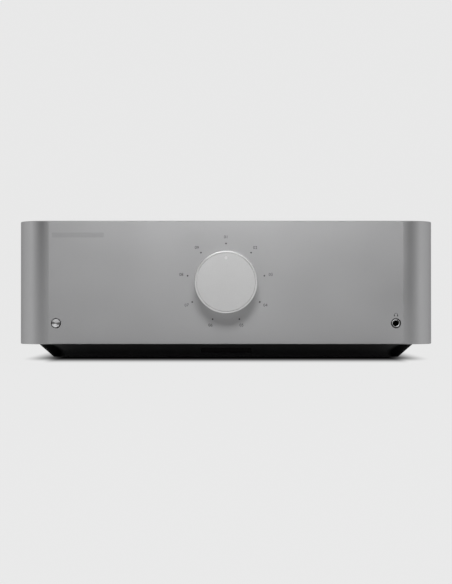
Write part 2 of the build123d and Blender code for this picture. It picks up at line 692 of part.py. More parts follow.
def fuse_pocket():
    """The space for the fuse drawer, with clearance all round."""
    low, high = MAINS_Z - 11.8, MAINS_Z + 11.8
    return block(MAINS_X - 1.3, MAINS_X + 6.3, 158.7, MAINS_FACE + CLEAR, low, high)


def fuse_drawer():
    """Drawer with its front plate proud of the module and a trough for the fuse."""
    plate_back = MAINS_FACE + 0.3
    plate_face = plate_back + 1.4
    tray = block(MAINS_X - 1, MAINS_X + 6, 159, plate_back, MAINS_Z - 11.5, MAINS_Z + 11.5)
    tray -= block(MAINS_X - 2, MAINS_X + 4.5, 162, MAINS_FACE - 4, MAINS_Z - 10.2, MAINS_Z + 10.2)
    plate = block(MAINS_X - 2, MAINS_X + 7, plate_back, plate_face, MAINS_Z - 12.8, MAINS_Z + 12.8)
    plate = chamfer(plate.faces().sort_by(Axis.Y)[-1].edges(), 0.4)
    notch = block(MAINS_X, MAINS_X + 5, plate_face - 0.7, plate_face + CLEAR, MAINS_Z + 9, MAINS_Z + 11)
    return tray + plate - notch


def rocker_axis(overhang):
    """Ends of the rocker's pivot along X, and its height and depth."""
    return MAINS_X + 11.7 - overhang, MAINS_X + 28.3 + overhang, MAINS_FACE - 4.6, MAINS_Z


def mains_rocker():
    """Rocker with a hollowed front, tilted to the position it is left in."""
    x0, x1, y, z = rocker_axis(0.0)
    outline = [
        (5.6, -10.8), (4.0, 0), (5.6, 10.8), (1.0, 10.8), (-4.0, 4.0), (-4.0, -4.0), (1.0, -10.8),
    ]
    side = make_face(Plane.YZ * Polyline(*outline, close=True))
    rocker = Pos(x0, 0, 0) * extrude(side, x1 - x0)
    pin0, pin1, _, _ = rocker_axis(1.0)
    rocker += rod_x(1.2, pin0, pin1)
    return Pos(0, y, z) * Rot(-ROCKER_TILT, 0, 0) * rocker


# ---- Speaker terminals ----
def speaker_terminal_bases():
    """Insulating base of each terminal, through the rear panel."""
    out = REAR_OUT
    profile = [
        (STUD_RADIUS, 160), (6.0, 160), (6.0, out), (11.0, out), (11.0, out + 2.2), (10.2, out + 3.0),
        (STUD_RADIUS, out + 3.0),
    ]
    return Compound([turned_y(profile, x, SPEAKER_Z) for x in SPEAKER_X.values()])


def speaker_terminal_studs():
    """Gold stud of each terminal: a cross hole for wire and a socket in its end."""
    tip = OVERALL_DEPTH / 2 - 2.0
    studs = []
    for x in SPEAKER_X.values():
        stud = rod_y(STUD_RADIUS, STUD_INNER_END, tip, x, SPEAKER_Z)
        stud -= rod_y(PLUG_BORE, tip - PLUG_DEPTH, tip + CLEAR, x, SPEAKER_Z)
        stud -= rod_z(1.6, SPEAKER_Z - 4, SPEAKER_Z + 4, x, REAR_OUT + 5.2)
        studs.append(stud)
    return Compound(studs)


def speaker_clamp(x):
    """Washer that slides on the stud and presses the wire; the cap turns on its neck."""
    flange = CLAMP_START + CLAMP_FLANGE
    end = CLAMP_START + CLAMP_LENGTH
    profile = [(STUD_BORE, CLAMP_START), (7.4, CLAMP_START), (7.4, flange), (CLAMP_NECK, flange),
               (CLAMP_NECK, end), (STUD_BORE, end)]
    return turned_y(profile, x, SPEAKER_Z)


def speaker_cap(x):
    """Fluted cap, open at its end so that a plug can enter the stud."""
    start = CLAMP_START + CLAMP_FLANGE + 0.3
    shoulder = CLAMP_START + CLAMP_LENGTH + 0.3
    end = OVERALL_DEPTH / 2
    radius = 8.4
    socket = CLAMP_NECK + RUNNING
    profile = [(socket, start), (radius, start), (radius, end - 0.8), (radius - 0.8, end), (3.9, end),
               (STUD_BORE, end - 0.8), (STUD_BORE, shoulder), (socket, shoulder)]
    cap = turned_y(profile, x, SPEAKER_Z)
    flutes = 12
    for index in range(flutes):
        angle = 2 * math.pi * index / flutes
        flute_x = x + (radius + 1.1) * math.cos(angle)
        flute_z = SPEAKER_Z + (radius + 1.1) * math.sin(angle)
        cap -= rod_y(1.9, start + 3.0, end + CLEAR, flute_x, flute_z)
    return cap


# ---- Inside ----
def transformer_can():
    """Steel can over both transformers, and the bolt down its middle."""
    place = (0, TRANSFORMER_Y)
    can = rod_z(CAN_RADIUS, TRAY_TOP, CAN_TOP, *place) - rod_z(
        CAN_RADIUS - CAN_WALL, TRAY_TOP - CLEAR, CAN_TOP - CAN_WALL, *place
    )
    can -= rod_z(5.0, CAN_TOP - 3, CAN_TOP + CLEAR, *place)
    shank = rod_z(5.0, TRAY_TOP, CAN_TOP, *place)
    head = extrude(Pos(0, TRANSFORMER_Y, CAN_TOP) * RegularPolygon(9.5, 6), 6)
    return Compound([can, shank + head])


def toroidal_transformers():
    """Two ring-shaped transformers, one above the other."""
    rings = []
    for z in (TRAY_TOP + 2, TRAY_TOP + 4 + TOROID_HEIGHT):
        ring = rod_z(TOROID_RADIUS, z, z + TOROID_HEIGHT, 0, TRANSFORMER_Y)
        ring -= rod_z(TOROID_HOLE, z - CLEAR, z + TOROID_HEIGHT + CLEAR, 0, TRANSFORMER_Y)
        rings.append(fillet(ring.edges().filter_by(GeomType.CIRCLE), 8))
    return Compound(rings)


def power_supply_board():
    """Board above the tray for the reservoir capacitors, and its pillars."""
    board = block(-120, 120, 50, 136, SUPPLY_Z, SUPPLY_Z + BOARD_THICKNESS)
    pillars = [rod_z(3, TRAY_TOP, SUPPLY_Z, x, y) for x in (-116, 116) for y in (55, 131)]
    return Compound([board] + pillars)


def reservoir_capacitors():
    """Eight upright cans in two rows."""
    base = SUPPLY_Z + BOARD_THICKNESS
    radius = 17.5
    top = base + 65.0
    profile = [(0, base), (radius, base), (radius, top - 1.5), (radius - 1.5, top), (0, top)]
    return Compound([turned_z(profile, x, y) for x in (-67.5, -22.5, 22.5, 67.5) for y in (75, 113)])


def amplifier_boards():
    """Upright board beside each heatsink, on pillars from the heatsink's base."""
    pieces = []
    for side in (-1, 1):
        inner = side * AMP_BOARD_X
        outer = side * (AMP_BOARD_X + BOARD_THICKNESS)
        pieces.append(block(inner, outer, SINK_FRONT + 10, SINK_BACK - 10, 32, 136))
        for y in (SINK_FRONT + 16, SINK_BACK - 16):
            for z in (40, 128):
                pieces.append(rod_x(3, outer, side * SINK_BASE_IN, y, z))
    return Compound(pieces)


def output_transistors():
    """Six power devices clamped to each heatsink's base."""
    devices = []
    for side in (-1, 1):
        for index in range(6):
            y = SINK_FRONT + 30 + 36 * index
            devices.append(
                block(side * (SINK_BASE_IN - 5), side * SINK_BASE_IN, y - 8, y + 8, 74, 96)
            )
    return Compound(devices)


def socket_board():
    """Upright board behind the signal sockets."""
    return block(-112, 62, SOCKET_BOARD_BACK - BOARD_THICKNESS, SOCKET_BOARD_BACK, 36, 140)


def wiring():
    """Speaker leads, mains leads and the flat cable from front to back."""
    leads = []
    for x in SPEAKER_X.values():
        side = math.copysign(1, x)
        turn_y = 115.0 if abs(x) > 150 else 100.0
        board = side * AMP_BOARD_X
        bend = 6.0 if abs(x) > 150 else 12.0
        points = [(x, STUD_INNER_END, SPEAKER_Z), (x, turn_y, SPEAKER_Z), (board, turn_y, SPEAKER_Z)]
        leads.append(cable(1.8, points, bend))
    for z in (42.0, 50.0):
        points = [(110, 152, z), (110, TRANSFORMER_Y, z), (CAN_RADIUS + 0.2, TRANSFORMER_Y, z)]
        leads.append(cable(2.0, points, 14.0))
    front = BOARD_FRONT + BOARD_THICKNESS
    back = SOCKET_BOARD_BACK - BOARD_THICKNESS
    side_view = [
        (front, 60), (front + 9, 60), (front + 9, 23), (back - 9, 23), (back - 9, 60), (back, 60),
    ]
    path = FilletPolyline(*[(FLAT_CABLE_X, y, z) for y, z in side_view], radius=3.5)
    section = Plane(origin=path @ 0, x_dir=(1, 0, 0), z_dir=path % 0) * Rectangle(25, 1)
    leads.append(sweep(section, path))
    return Compound(leads)


def main():
    """Builds every sub-part and writes one file for each."""
    band = wrap()
    parts = {
        "front_panel": front_panel(band),
        "side_panel_left": side_panel(band, -1),
        "side_panel_right": side_panel(band, 1),
        "name_plate": name_plate(),
        "top_cover": top_cover(),
        "chassis_tray": chassis_tray(),
        "joining_brackets": joining_brackets(),
        "heatsink_left": heatsink(-1),
        "heatsink_right": heatsink(1),
        "plinth": plinth(),
        "infrared_window": infrared_window(),
        "feet": feet(),
        "foot_screws": foot_screws(),
        "volume_knob": volume_knob(),
        "volume_knob_face": volume_knob_face(),
        "volume_pointer": volume_pointer(),
        "volume_shaft": volume_shaft(),
        "selector_ring": selector_ring(),
        "selector_pointer": selector_pointer(),
        "selector_sleeve": selector_sleeve(),
        "control_bush": control_bush(),
        "rotary_encoder": rotary_encoder(),
        "standby_collar": standby_collar(),
        "standby_button": standby_button(),
        "headphone_ferrule": headphone_ferrule(),
        "headphone_socket": headphone_socket(),
        "control_board": control_board(),
        "rear_panel": rear_panel(),
        "rear_panel_screws": rear_panel_screws(),
        "phono_barrels": phono_barrels(),
        "phono_insulators_white": phono_insulators("white"),
        "phono_insulators_red": phono_insulators("red"),
        "optical_sockets": optical_sockets(),
        "data_sockets": data_sockets(),
        "wireless_antenna": wireless_antenna(),
        "mains_inlet": mains_inlet(),
        "mains_inlet_pins": mains_inlet_pins(),
        "fuse_drawer": fuse_drawer(),
        "mains_rocker": mains_rocker(),
        "speaker_terminal_bases": speaker_terminal_bases(),
        "speaker_terminal_studs": speaker_terminal_studs(),
        "transformer_can": transformer_can(),
        "toroidal_transformers": toroidal_transformers(),
        "power_supply_board": power_supply_board(),
        "reservoir_capacitors": reservoir_capacitors(),
        "amplifier_boards": amplifier_boards(),
        "output_transistors": output_transistors(),
        "socket_board": socket_board(),
        "wiring": wiring(),
    }
    sockets = []
    for side, x in BALANCED_X.items():
        sockets += balanced_input(x)
        parts[f"balanced_latch_{side}"] = balanced_latch(x)
    parts["balanced_inputs"] = Compound(sockets)
    for name, x in SPEAKER_X.items():
        parts[f"speaker_clamp_{name}"] = speaker_clamp(x)
        parts[f"speaker_cap_{name}"] = speaker_cap(x)
    os.makedirs("parts", exist_ok=True)
    for name, shape in parts.items():
        export_step(shape, f"parts/{name}.step")


main()
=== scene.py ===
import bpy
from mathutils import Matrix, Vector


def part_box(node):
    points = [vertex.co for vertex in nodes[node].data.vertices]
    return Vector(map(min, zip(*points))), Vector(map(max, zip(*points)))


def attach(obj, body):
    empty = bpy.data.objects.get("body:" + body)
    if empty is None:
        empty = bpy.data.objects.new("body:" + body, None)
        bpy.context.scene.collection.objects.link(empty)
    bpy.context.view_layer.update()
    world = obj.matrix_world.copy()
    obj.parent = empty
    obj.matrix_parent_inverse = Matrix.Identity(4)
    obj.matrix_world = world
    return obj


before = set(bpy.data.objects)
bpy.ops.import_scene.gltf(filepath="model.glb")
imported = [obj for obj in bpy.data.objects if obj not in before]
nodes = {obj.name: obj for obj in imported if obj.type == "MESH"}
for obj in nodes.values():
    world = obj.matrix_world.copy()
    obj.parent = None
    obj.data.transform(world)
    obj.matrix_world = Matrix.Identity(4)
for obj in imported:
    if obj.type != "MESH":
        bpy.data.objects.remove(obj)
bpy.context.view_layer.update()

import bmesh
import bpy
import math
from mathutils import Matrix, Vector

MM = 0.001
UPRIGHT = Matrix.Rotation(math.pi / 2, 4, "X")
FACING_REAR = Matrix.Rotation(math.pi, 4, "Z") @ UPRIGHT
scene = bpy.context.scene


# ---- Places, all read from the model ----
def centre(node):
    """Middle of a CAD node's box."""
    low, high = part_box(node)
    return (low + high) / 2


BUSH_PROUD = 1.2 * MM        # how far the dials' bush stands out of the front
FRONT_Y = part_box("control_bush")[0].y + BUSH_PROUD
REAR_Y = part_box("rear_panel")[1].y
DIAL = centre("volume_knob")
HEADPHONE = centre("headphone_ferrule")
MAINS_FACE_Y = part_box("mains_inlet")[1].y


# ---- Materials ----
RANGE_SOCKETS = ("From Min", "From Max", "To Min", "To Max")
REFLECTION_BOW_TILT = 8.0             # degrees that the button's painted dark bow, part of its painted reflection, leans
REFLECTION_BOW_BEND = 0.28             # how much the painted bow bends, in height for each step out
PLINTH_BLACK = (0.078, 0.078, 0.08)
# Painted shade: the plinth's corners, which face away from the light, are coloured near black; the
# figures below place it.
CORNER_PAINTED_SHADE = (0.001, 0.001, 0.001)
CORNER_START = 182 * MM     # from the middle to the plinth's corners, where they begin lowest
CORNER_LOW = 6 * MM         # height at which they do
CORNER_BEND = 123           # how fast they begin further out, away from that height
CORNER_BLUR = 3 * MM        # half-width of the change


class Look:
    """A node material under construction: one Principled shader and helpers that feed it."""

    def __init__(self, name, colour, metallic=0.0, roughness=0.5, **constants):
        self.mat = bpy.data.materials.new(name)
        self.mat.use_nodes = True
        self.tree = self.mat.node_tree
        self.shader = self.tree.nodes["Principled BSDF"]
        self.colour = (*colour, 1.0)
        self.shader.inputs["Base Color"].default_value = self.colour
        self.shader.inputs["Metallic"].default_value = metallic
        self.shader.inputs["Roughness"].default_value = roughness
        for socket, value in constants.items():
            self.shader.inputs[socket.replace("_", " ")].default_value = value
        self.bump_out = None
        self.place = self.node("ShaderNodeTexCoord").outputs["Object"]

    def node(self, kind, **settings):
        made = self.tree.nodes.new(kind)
        for key, value in settings.items():
            setattr(made, key, value)
        return made

    def join(self, output, socket):
        self.tree.links.new(output, socket)

    def stretched(self, scale, rotation=(0, 0, 0), origin=(0, 0, 0)):
        """Object coordinates moved to an origin and scaled along each axis."""
        mapping = self.node("ShaderNodeMapping", vector_type="TEXTURE")
        mapping.inputs["Location"].default_value = origin
        mapping.inputs["Rotation"].default_value = rotation
        mapping.inputs["Scale"].default_value = [1 / s for s in scale]
        self.join(self.place, mapping.inputs["Vector"])
        return mapping.outputs["Vector"]

    def noise(self, size, detail=3.0, rough=0.55, stretch=(1, 1, 1), rotation=(0, 0, 0)):
        """Noise whose features are about `size` metres across."""
        texture = self.node("ShaderNodeTexNoise")
        texture.inputs["Scale"].default_value = 1.0
        texture.inputs["Detail"].default_value = detail
        texture.inputs["Roughness"].default_value = rough
        self.join(self.stretched([s / size for s in stretch], rotation), texture.inputs["Vector"])
        return texture.outputs["Fac"]

    def spread(self, value, low, high, start=0.3, end=0.7):
        """Maps a 0-1 value onto a new range."""
        remap = self.node("ShaderNodeMapRange", clamp=True)
        for socket, number in zip(RANGE_SOCKETS, (start, end, low, high)):
            remap.inputs[socket].default_value = number
        self.join(value, remap.inputs["Value"])
        return remap.outputs["Result"]

    def mix(self, factor, first, second):
        """Blends two colours, each a colour or another node's output."""
        blend = self.node("ShaderNodeMix", data_type="RGBA")
        self.join(factor, blend.inputs["Factor"])
        for socket, value in ((blend.inputs[6], first), (blend.inputs[7], second)):
            if isinstance(value, bpy.types.NodeSocket):
                self.join(value, socket)
            else:
                socket.default_value = (*value[:3], 1.0)
        return blend.outputs[2]

    def tint(self, value, amount, start=0.3, end=0.7):
        """Varies the base colour by plus and minus `amount` with a 0-1 value."""
        dark = [c * (1 - amount) for c in self.colour[:3]]
        light = [min(1.0, c * (1 + amount)) for c in self.colour[:3]]
        self.paint(self.mix(self.spread(value, 0, 1, start, end), dark, light))
        return self

    def paint(self, output):
        """Feeds the base colour."""
        self.join(output, self.shader.inputs["Base Color"])
        return self

    def rough(self, value, low, high, start=0.3, end=0.7):
        """Varies the roughness from low to high with a 0-1 value."""
        self.join(self.spread(value, low, high, start, end), self.shader.inputs["Roughness"])
        return self

    def bump(self, height, distance, strength=1.0):
        """Adds a bump layer on top of any earlier one."""
        layer = self.node("ShaderNodeBump")
        layer.inputs["Strength"].default_value = strength
        layer.inputs["Distance"].default_value = distance
        self.join(height, layer.inputs["Height"])
        if self.bump_out is not None:
            self.join(self.bump_out, layer.inputs["Normal"])
        self.bump_out = layer.outputs["Normal"]
        self.join(self.bump_out, self.shader.inputs["Normal"])
        return self


def product(look, first, *others):
    """Product of several outputs."""
    for other in others:
        times = look.node("ShaderNodeMath", operation="MULTIPLY")
        look.join(first, times.inputs[0])
        look.join(other, times.inputs[1])
        first = times.outputs[0]
    return first


def blasted(name, colour, roughness, depth=6e-6, **constants):
    """Bead-blasted, anodised aluminium: a very fine even grain and slight cloudiness."""
    look = Look(name, colour, metallic=1.0, roughness=roughness, **constants)
    grain = look.noise(0.35 * MM, detail=2.0)
    cloud = look.noise(60 * MM, detail=4.0)
    look.tint(grain, 0.05)
    look.rough(cloud, roughness - 0.02, roughness + 0.03)
    return look.bump(grain, depth).bump(look.noise(1.4 * MM, detail=3.0), depth * 0.6)


def brushed(name, colour, roughness, along, **constants):
    """Metal with fine lines along one axis."""
    look = Look(name, colour, metallic=1.0, roughness=roughness, **constants)
    stretch = [0.02 if axis == along else 1 for axis in range(3)]
    lines = look.noise(0.25 * MM, detail=3.0, stretch=stretch)
    look.tint(lines, 0.10)
    look.rough(lines, roughness - 0.05, roughness + 0.08)
    return look.bump(lines, 8e-6)


def moulded(name, colour, roughness, grain=0.5 * MM, depth=12e-6, **constants):
    """Moulded plastic with a spark-eroded texture and slightly uneven gloss."""
    look = Look(name, colour, roughness=roughness, **constants)
    texture = look.noise(grain, detail=4.0, rough=0.7)
    look.tint(look.noise(12 * MM), 0.12)
    look.rough(texture, roughness - 0.06, roughness + 0.10)
    return look.bump(texture, depth)


def painted(name, colour, roughness, depth=10e-6, **constants):
    """Powder coat: a fine orange peel."""
    look = Look(name, colour, roughness=roughness, **constants)
    peel = look.noise(0.9 * MM, detail=2.0)
    look.tint(look.noise(40 * MM, detail=5.0), 0.15)
    look.rough(peel, roughness - 0.04, roughness + 0.06)
    return look.bump(peel, depth)


def plated(name, colour, roughness, **constants):
    """Bright plating over a turned surface."""
    look = Look(name, colour, metallic=1.0, roughness=roughness, **constants)
    marks = look.noise(0.6 * MM, detail=3.0, stretch=(1, 0.15, 1))
    look.tint(look.noise(4 * MM), 0.06)
    look.rough(marks, roughness - 0.03, roughness + 0.08)
    return look.bump(marks, 3e-6)


def circuit_board():
    """Solder mask with copper tracks showing through and fine weave."""
    look = Look("circuit_board", (0.012, 0.10, 0.035), roughness=0.35)
    tracks = look.node("ShaderNodeTexBrick", offset=0.37)
    tracks.inputs["Scale"].default_value = 1.0
    tracks.inputs["Mortar Size"].default_value = 0.06
    look.join(look.stretched([1 / (9 * MM)] * 3, rotation=(0.4, 0.3, 0)), tracks.inputs["Vector"])
    look.paint(look.mix(tracks.outputs["Fac"], (0.010, 0.085, 0.03), (0.03, 0.19, 0.07)))
    look.rough(look.noise(3 * MM), 0.28, 0.45)
    return look.bump(tracks.outputs["Fac"], 20e-6).bump(look.noise(0.5 * MM), 6e-6)


def winding():
    """Enamelled wire wound round the ring, under clear tape."""
    look = Look("winding_copper", (0.55, 0.25, 0.10), metallic=0.7, roughness=0.3, Coat_Weight=0.4)
    turns = look.node("ShaderNodeTexWave", wave_type="BANDS", bands_direction="Z")
    turns.inputs["Scale"].default_value = 1.0
    turns.inputs["Distortion"].default_value = 1.5
    look.join(look.stretched([1 / (6 * MM)] * 3), turns.inputs["Vector"])
    look.paint(look.mix(turns.outputs["Fac"], (0.30, 0.12, 0.045), (0.62, 0.30, 0.12)))
    return look.bump(turns.outputs["Fac"], 120e-6)


def spun_face(name, node, dark, light):
    """Metal spun about the node's own axis, its reflection painted into the base colour: two painted
    light fans with a narrow painted dark bow between them.
    """
    axis = centre(node)
    look = Look(name, light, metallic=1.0, roughness=0.42)
    place = look.node("ShaderNodeSeparateXYZ")
    level = look.stretched([1 / MM] * 3, rotation=(0, math.radians(REFLECTION_BOW_TILT), 0), origin=axis)
    size = look.node("ShaderNodeVectorMath", operation="ABSOLUTE")
    look.join(level, size.inputs[0])
    look.join(size.outputs[0], place.inputs[0])
    reflection_bow = look.node("ShaderNodeMath", operation="MULTIPLY_ADD")
    look.join(place.outputs["X"], reflection_bow.inputs[0])
    reflection_bow.inputs[1].default_value = -REFLECTION_BOW_BEND
    look.join(place.outputs["Z"], reflection_bow.inputs[2])
    rings = look.node("ShaderNodeTexWave", wave_type="RINGS", rings_direction="Y")
    rings.inputs["Scale"].default_value = 1.0
    rings.inputs["Distortion"].default_value = 0.6
    look.join(look.stretched([1 / (0.35 * MM)] * 3, origin=axis), rings.inputs["Vector"])
    look.rough(rings.outputs["Fac"], 0.36, 0.48, 0.0, 1.0)
    # painted reflection: light fans and a dark bow fixed in the base colour, standing in for the spun
    # metal's highlights
    look.paint(look.mix(look.spread(reflection_bow.outputs[0], 0, 1, 0.1, 0.8), dark, light))
    return look.bump(rings.outputs["Fac"], 3e-6)


def bevelled_base():
    """Satin black with painted shade: deepest, near black, on the corners, which face away from the
    light.
    """
    look = painted("plinth_black", PLINTH_BLACK, 0.7, Specular_IOR_Level=0.1)
    size = look.node("ShaderNodeVectorMath", operation="ABSOLUTE")
    look.join(look.place, size.inputs[0])
    parts = look.node("ShaderNodeSeparateXYZ")
    look.join(size.outputs[0], parts.inputs[0])
    rise = look.node("ShaderNodeMath", operation="SUBTRACT")
    look.join(parts.outputs["Z"], rise.inputs[0])
    rise.inputs[1].default_value = CORNER_LOW
    beyond = look.node("ShaderNodeMath", operation="MULTIPLY_ADD")
    look.join(product(look, rise.outputs[0], rise.outputs[0]), beyond.inputs[0])
    beyond.inputs[1].default_value = -CORNER_BEND
    look.join(parts.outputs["X"], beyond.inputs[2])
    ends = (CORNER_START - CORNER_BLUR, CORNER_START + CORNER_BLUR)
    shaded_corner_mask = look.spread(beyond.outputs[0], 0, 1, *ends)
    # painted shade: the corners fade to near black
    return look.paint(look.mix(shaded_corner_mask, PLINTH_BLACK, CORNER_PAINTED_SHADE))


looks = {
    "case": blasted("case_aluminium", (0.42, 0.42, 0.425), 0.38, Specular_Tint=(0.55, 0.55, 0.55, 1)),
    "cover": blasted("cover_aluminium", (0.42, 0.42, 0.425), 0.58),
    "dial": blasted("dial_aluminium", (0.74, 0.74, 0.74), 0.38),
    "dial_face": blasted("dial_face", (0.555, 0.555, 0.555), 0.42),
    "name_plate": brushed("name_plate_metal", (0.36, 0.36, 0.365), 0.40, along=0),
    # plinth: satin black with painted shade on its corners
    "plinth": bevelled_base(),
    "black_steel": painted("black_steel", (0.02, 0.02, 0.021), 0.5),
    "rear": blasted("rear_panel_metal", (0.05, 0.05, 0.052), 0.42),
    "sink": brushed("black_heatsink", (0.045, 0.045, 0.047), 0.42, along=2),
    "zinc": brushed("zinc_steel", (0.62, 0.61, 0.58), 0.35, along=0),
    "steel": brushed("bright_steel", (0.68, 0.68, 0.68), 0.25, along=1),
    "latch": brushed("latch_steel", (0.5, 0.5, 0.5), 0.3, along=0),
    "black_screw": painted("black_screws", (0.02, 0.02, 0.02), 0.35, Metallic=0.6),
    "chrome": plated("ferrule_chrome", (0.85, 0.85, 0.86), 0.08),
    "gold": plated("gold_plate", (0.95, 0.66, 0.26), 0.16),
    "bush": plated("bush_brass", (0.72, 0.70, 0.62), 0.2),
    # standby button: a painted reflection, its dark bow colour and light fan colour
    "button": spun_face("button_metal", "standby_button", (0.15, 0.15, 0.15), (0.60, 0.60, 0.61)),
    "rubber": moulded("foot_rubber", (0.018, 0.018, 0.018), 0.8, grain=0.8 * MM),
    "plastic": moulded("black_plastic", (0.012, 0.012, 0.013), 0.48),
    "gloss_plastic": moulded("gloss_black", (0.012, 0.012, 0.013), 0.22, depth=3e-6),
    "red": moulded("red_plastic", (0.55, 0.012, 0.012), 0.28, depth=4e-6, Coat_Weight=0.3),
    "white": moulded("white_plastic", (0.78, 0.78, 0.74), 0.3, depth=4e-6),
    "pointer": moulded("pointer_white", (0.85, 0.85, 0.85), 0.2, depth=2e-6),
    "window": moulded("dark_window", (0.004, 0.0015, 0.002), 0.3, depth=1e-6, Specular_IOR_Level=0.15),
    "print": painted("dark_print", (0.035, 0.035, 0.037), 0.55, depth=2e-6),
    "pale_print": painted("pale_print", (0.62, 0.62, 0.62), 0.55, depth=2e-6),
    "board": circuit_board(),
    "winding": winding(),
    "sleeve": moulded("capacitor_sleeve", (0.012, 0.02, 0.07), 0.3, depth=4e-6),
    "lead": moulded("lead_insulation", (0.03, 0.03, 0.03), 0.55, grain=1.5 * MM),
}

clamps = [name for name in nodes if name.startswith("speaker_clamp")]
finishes = {
    "case": ["front_panel", "side_panel_left", "side_panel_right"],
    "cover": ["top_cover"],
    "dial": ["volume_knob", "selector_ring"],
    "dial_face": ["volume_knob_face"],
    "name_plate": ["name_plate"],
    "plinth": ["plinth"],
    "black_steel": ["chassis_tray", "transformer_can"],
    "rear": ["rear_panel"],
    "sink": ["heatsink_left", "heatsink_right"],
    "zinc": ["joining_brackets", "foot_screws"],
    "steel": ["volume_shaft", "selector_sleeve", "mains_inlet_pins", "data_sockets"],
    "latch": ["balanced_latch_left", "balanced_latch_right"],
    "black_screw": ["rear_panel_screws"],
    "chrome": ["headphone_ferrule"],
    "gold": ["phono_barrels", "speaker_terminal_studs", *clamps],
    "bush": ["control_bush"],
    "button": ["standby_button"],
    "rubber": ["feet"],
    "plastic": [
        "rotary_encoder", "standby_collar", "headphone_socket", "balanced_inputs", "optical_sockets",
        "wireless_antenna", "mains_inlet", "fuse_drawer", "speaker_terminal_bases", "output_transistors",
    ],
    "gloss_plastic": ["mains_rocker", "speaker_cap_left_black", "speaker_cap_right_black"],
    "red": ["phono_insulators_red", "speaker_cap_left_red", "speaker_cap_right_red"],
    "white": ["phono_insulators_white"],
    "pointer": ["volume_pointer", "selector_pointer"],
    "window": ["infrared_window"],
    "board": ["control_board", "power_supply_board", "amplifier_boards", "socket_board"],
    "winding": ["toroidal_transformers"],
    "sleeve": ["reservoir_capacitors"],
    "lead": ["wiring"],
}
for look_name, members in finishes.items():
    for member in members:
        for material_slot in nodes[member].material_slots:
            material_slot.material = looks[look_name].mat
unfinished = sorted(set(nodes) - {m for members in finishes.values() for m in members})
assert not unfinished, unfinished


# ---- Printed marks, as thin solids let into the panels ----
PRINT_PROUD = 0.03 * MM
PRINT_SUNK = 0.05 * MM
NUMERAL_SHARE = 0.7         # a numeral's height, as a share of its font size
DOT_RING = 42.9 * MM        # from the dial's middle to the dots round it
NUMBER_RING = 50.0 * MM     # and to their numbers
POSITIONS = 9
ROCKER_DEPTH = 4.6 * MM     # from the mains module's face in to the rocker's pivot
ROCKER_REST = -10           # degrees that the rocker leans at rest
FACET_OUT = 4.8 * MM        # from the pivot out to the middle of each half of its face
FACET_UP = 5.4 * MM
FACET_TILT = 8.43           # degrees between each half and the rocker's own upright


def to_front(x, z, y):
    """Matrix that lays a drawing in the XY plane on a face that looks along -Y."""
    return Matrix.Translation((x, y, z)) @ UPRIGHT


def to_rear(x, z, y):
    """Matrix that lays a drawing on a face that looks along +Y, readable from behind."""
    return Matrix.Translation((x, y, z)) @ FACING_REAR


def prism(bm, outline, matrix):
    """Adds a thin closed prism over an outline of (x, y) points."""
    rings = []
    for depth in (-PRINT_SUNK, PRINT_PROUD):
        rings.append([bm.verts.new(matrix @ Vector((x, y, depth))) for x, y in outline])
    low, high = rings
    bm.faces.new(list(reversed(low)))
    bm.faces.new(high)
    for i in range(len(outline)):
        j = (i + 1) % len(outline)
        bm.faces.new((low[i], low[j], high[j], high[i]))


def disc(radius, count=24):
    """Outline of a disc."""
    turn = 2 * math.pi / count
    return [(radius * math.cos(turn * i), radius * math.sin(turn * i)) for i in range(count)]


def bar(x0, y0, x1, y1):
    """Outline of a rectangle."""
    return [(x0, y0), (x1, y0), (x1, y1), (x0, y1)]


def plus(reach, half):
    """Outline of a plus sign."""
    quarter = [(half, half), (half, reach), (-half, reach)]
    return [
        (x * math.cos(a) - y * math.sin(a), x * math.sin(a) + y * math.cos(a))
        for a in (0, math.pi / 2, math.pi, 3 * math.pi / 2) for x, y in quarter
    ]


def hollow_prism(bm, outer, inner, matrix):
    """Adds a thin closed frame between two outlines with the same number of points."""
    loops = [
        [bm.verts.new(matrix @ Vector((x, y, depth))) for x, y in outline]
        for outline, depth in (
            (outer, -PRINT_SUNK), (outer, PRINT_PROUD), (inner, PRINT_PROUD), (inner, -PRINT_SUNK)
        )
    ]
    for first, second in zip(loops, loops[1:] + loops[:1]):
        for i in range(len(outer)):
            j = (i + 1) % len(outer)
            bm.faces.new((first[i], first[j], second[j], second[i]))


def ring_band(radius, width, start, end, count=20):
    """Outline of part of a ring."""
    angles = [start + (end - start) * i / count for i in range(count + 1)]
    outer, inner = [
        [(r * math.cos(a), r * math.sin(a)) for a in angles]
        for r in (radius + width / 2, radius - width / 2)
    ]
    return outer + inner[::-1]


def piece(name, bm, look, body="amplifier"):
    """Turns a bmesh into a piece that rides on a CAD body."""
    bmesh.ops.recalc_face_normals(bm, faces=bm.faces)
    mesh = bpy.data.meshes.new(name)
    bm.to_mesh(mesh)
    bm.free()
    mesh.materials.append(looks[look].mat)
    made = bpy.data.objects.new(name, mesh)
    scene.collection.objects.link(made)
    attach(made, body)
    return made


def numeral_mesh(text, height):
    """A numeral as a thin solid, centred on its own middle."""
    curve = bpy.data.curves.new("numeral", "FONT")
    curve.body = text
    curve.size = height / NUMERAL_SHARE
    curve.align_x = "CENTER"
    curve.align_y = "CENTER"
    curve.extrude = (PRINT_SUNK + PRINT_PROUD) / 2
    curve.resolution_u = 3
    holder = bpy.data.objects.new("numeral", curve)
    scene.collection.objects.link(holder)
    bpy.context.view_layer.update()
    mesh = bpy.data.meshes.new_from_object(holder.evaluated_get(bpy.context.evaluated_depsgraph_get()))
    bpy.data.objects.remove(holder)
    bpy.data.curves.remove(curve)
    return mesh


def add_numeral(bm, text, height, matrix):
    """Adds a numeral, let into a face as deep as the other marks."""
    mesh = numeral_mesh(text, height)
    mesh.transform(matrix @ Matrix.Translation((0, 0, (PRINT_PROUD - PRINT_SUNK) / 2)))
    bm.from_mesh(mesh)
    bpy.data.meshes.remove(mesh)


